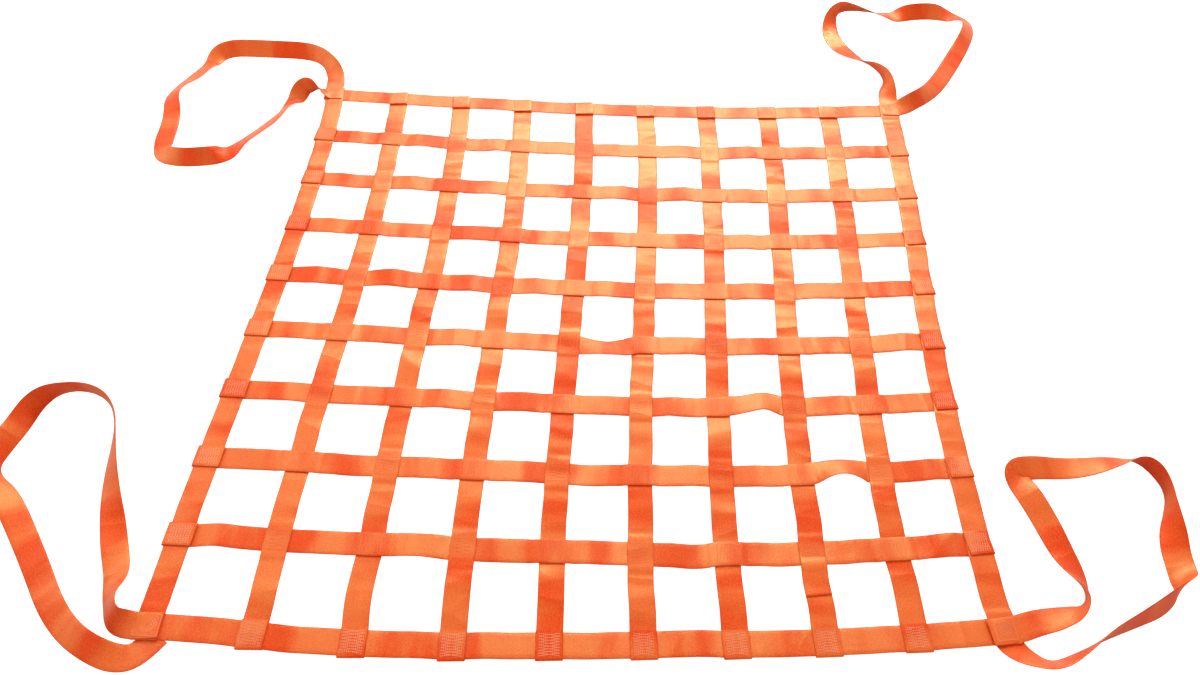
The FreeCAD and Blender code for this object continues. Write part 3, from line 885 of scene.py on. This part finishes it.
def addLoop(name, settings):
    # centre height = lift + half the width x |sin roll|, rounded off near flat, + half the thickness,
    # so that the lower edge of the webbing always rests on the floor or on the corner
    rows = np.array(settings["route"])
    roll = np.radians(rows[:, 3])
    rise = webThick / 2 + webWidth / 2 * np.abs(np.sin(roll))
    line = nurbsLine(np.column_stack([rows[:, 0], rows[:, 1], rows[:, 2] + rise]))
    turns = nurbsLine(np.column_stack([roll, rows[:, 2], 0 * roll]))
    turn = turns[:, 0]
    lying = turns[:, 1] < loopLie["resting"]
    edgeUp = np.sqrt(np.sin(turn) ** 2 + loopLie["softness"] ** 2 * lying)
    line[:, 2] = smoothed(turns[:, 1] + webWidth / 2 * edgeUp + webThick / 2, loopLie["reach"])
    way = unit(np.gradient(line[:, :2], axis=0))
    sideways = np.stack([-way[:, 1], way[:, 0], 0 * turn], axis=-1)
    points, quads, caps, uv = ribbon(line, sideways, turn, clothStart["loop"])
    piece = addMesh(name + "Loop", points, quads, caps, uv, webbing)
    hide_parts(settings["node"], settings["node"] + "_ends")
    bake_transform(piece)


for loopName, loopSettings in cornerLoops.items():
    addLoop(loopName, loopSettings)
print("corner loops made")


# ---- sewing

sewing = {
    "square": 0.038, "inside": 0.028, "strokes": 8, "pitch": 0.0036, "gap": 0.0006, "thread": 0.0009,
    # the corner's spiral: outer radius as a share of the square, turns, inner share of the radius, steps
    "spiral": 0.38, "turns": 3, "inner": 0.2, "stepsPerTurn": 14,
    # height of a stitch's sides, top and bottom, as shares of the thread
    "side": 0.2, "top": 1.0, "bottom": -0.5,
    # UV per metre of the plan
    "patternScale": 0.9,
}


def squareLine(size):
    # once round a square
    half = size / 2
    return np.array([(-half, -half), (half, -half), (half, half), (-half, half), (-half, -half)])


def zigzagLine(width, depth, strokes):
    # runs up and down across depth while it moves along width
    count = np.arange(strokes + 1)
    along = count * width / strokes - width / 2
    return np.stack([along, np.where(count % 2, depth / 2, -depth / 2)], axis=-1)


def roundLine(radius, turns):
    # a spiral: radius shrinks evenly with the angle
    angle = np.linspace(0, 2 * np.pi * turns, sewing["stepsPerTurn"] * turns)
    reach = radius * (1 - (1 - sewing["inner"]) * angle / angle[-1])
    return np.stack([reach * np.cos(angle), reach * np.sin(angle)], axis=-1)


def stitches(line):
    # cuts each straight run into stitches one pitch long with a small gap. A stitch is two tips
    # and four points round its middle: one thread to each side, one above and half a thread below
    points = []
    side = sewing["side"]
    up = np.array([0, 0, side, side, sewing["top"], sewing["bottom"]]) * sewing["thread"]
    for start, end in zip(line, line[1:]):
        count = max(1, int(round(np.linalg.norm(end - start) / sewing["pitch"])))
        share = np.arange(count)[:, None] / count
        way = (end - start) / count
        length = np.linalg.norm(way)
        trim = way * (sewing["gap"] / length / 2)
        first = start + share * (end - start) + trim
        second = first + way - 2 * trim
        centre = (first + second) / 2
        aside = np.array([-way[1], way[0]]) / length * sewing["thread"]
        flat = np.stack([first, second, centre + aside, centre - aside, centre, centre], axis=1)
        points.append(np.concatenate([flat, np.broadcast_to(up[None, :, None], (count, 6, 1))], axis=-1))
    points = np.concatenate(points)
    faces = np.array([
        (0, 3, 4), (3, 1, 4), (1, 2, 4), (2, 0, 4), (3, 0, 5), (1, 3, 5), (2, 1, 5), (0, 2, 5),
    ])
    return points.reshape(-1, 3), (np.arange(len(points))[:, None, None] * 6 + faces).reshape(-1, 3)


def patch(kind):
    # the lines of thread of one sewn patch
    size = sewing["square"]
    if kind == "crossing":
        lines = [squareLine(size), zigzagLine(sewing["inside"], sewing["inside"], sewing["strokes"])]
    elif kind == "corner":
        lines = [squareLine(size), roundLine(size * sewing["spiral"], sewing["turns"])]
    else:
        zigzag = zigzagLine(size, size, sewing["strokes"])
        lines = [zigzag, zigzag * (1, -1)]
    pieces = [stitches(line) for line in lines]
    offset = np.cumsum([0] + [len(points) for points, faces in pieces])[:-1]
    return (np.concatenate([points for points, faces in pieces]),
            np.concatenate([faces + start for start, (points, faces) in zip(offset, pieces)]))


def addStitches(name, kind, places, node, material):
    # places: (x, y, height, turned) of each patch on the square net; turned swaps along and across
    points, faces = patch(kind)
    places = np.array(places, float)
    turned = places[:, 3, None, None] > 0
    local = np.where(turned, points[None, :, [1, 0]] * (1, -1), points[None, :, :2])
    plan = places[:, None, :2] + local
    x, y = laidOut(plan[..., 0], plan[..., 1])
    z = places[:, 2, None] + points[None, :, 2]
    allPoints = np.stack([x, y, z], axis=-1).reshape(-1, 3)
    allFaces = (faces[None] + np.arange(len(places))[:, None, None] * len(points)).reshape(-1, 3)
    uv = plan.reshape(-1, 2) * sewing["patternScale"]
    piece = addMesh(name, allPoints, allFaces, [], uv, material)
    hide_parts(node)
    return piece


def patchPlace(row, column, height, turned):
    # the middle of a crossing on the square net, with the height of its sewing and its turn
    return (column - middle) * pitch, (middle - row) * pitch, height, turned


def addSewing():
    # three groups of patches in each half of the net: inner crossings, folded ends and corners; each
    # group lies on top of the layers of webbing there
    onStrap = webThick * 1.5 + clothThick / 2
    onFold = webThick * 2.5 + clothThick / 2
    onCorner = webThick * 3.5 + clothThick / 2
    for half, rows, endRow in (("rear", range(1, 5), 0), ("front", range(5, last), last)):
        inner = []
        for row in rows:
            for column in range(1, last):
                inner.append(patchPlace(row, column, onStrap, longLayer(row, column)))
        sides = [patchPlace(row, column, onFold, 0) for row in rows for column in (0, last)]
        ends = [patchPlace(endRow, column, onFold, 1) for column in range(1, last)]
        corners = [patchPlace(endRow, column, onCorner, 0) for column in (0, last)]
        for kind, places, material in (
            ("Crossing", inner, matchedThread),
            ("Border", sides + ends, thread),
            ("Corner", corners, thread),
        ):
            node = "%s_%s_stitches" % (half, kind.lower())
            piece = addStitches("%s%sStitches" % (half, kind), kind.lower(), places, node, material)
            rideHalf(piece)
    print("sewing made")


addSewing()


# ---- floor

floorFinish = {
    "size": 14.0, "level": -0.0004,
    "colour": (0.80, 0.80, 0.80), "roughness": 0.9, "specular": 0.1, "glow": 0.9,
}


def addFloor(settings):
    # a flat square just under the net, matt and white; only the camera sees its glow, so it lights nothing
    mesh = bpy.data.meshes.new("floor")
    corners = [(x, y, settings["level"]) for x, y in squareLine(settings["size"])[:4]]
    mesh.from_pydata(corners, [], [(0, 1, 2, 3)])
    material = bpy.data.materials.new("paleFloor")
    material.use_nodes = True
    shader = material.node_tree.nodes["Principled BSDF"]
    shader.inputs["Base Color"].default_value = (*settings["colour"], 1)
    shader.inputs["Roughness"].default_value = settings["roughness"]
    shader.inputs["Specular IOR Level"].default_value = settings["specular"]
    shader.inputs["Emission Color"].default_value = (1, 1, 1, 1)
    path = material.node_tree.nodes.new("ShaderNodeLightPath")
    glow = mathNode(material.node_tree, "MULTIPLY", path.outputs["Is Camera Ray"], settings["glow"])
    material.node_tree.links.new(glow, shader.inputs["Emission Strength"])
    mesh.materials.append(material)
    floor = bpy.data.objects.new("floor", mesh)
    bpy.context.scene.collection.objects.link(floor)


addFloor(floorFinish)
print("floor made")
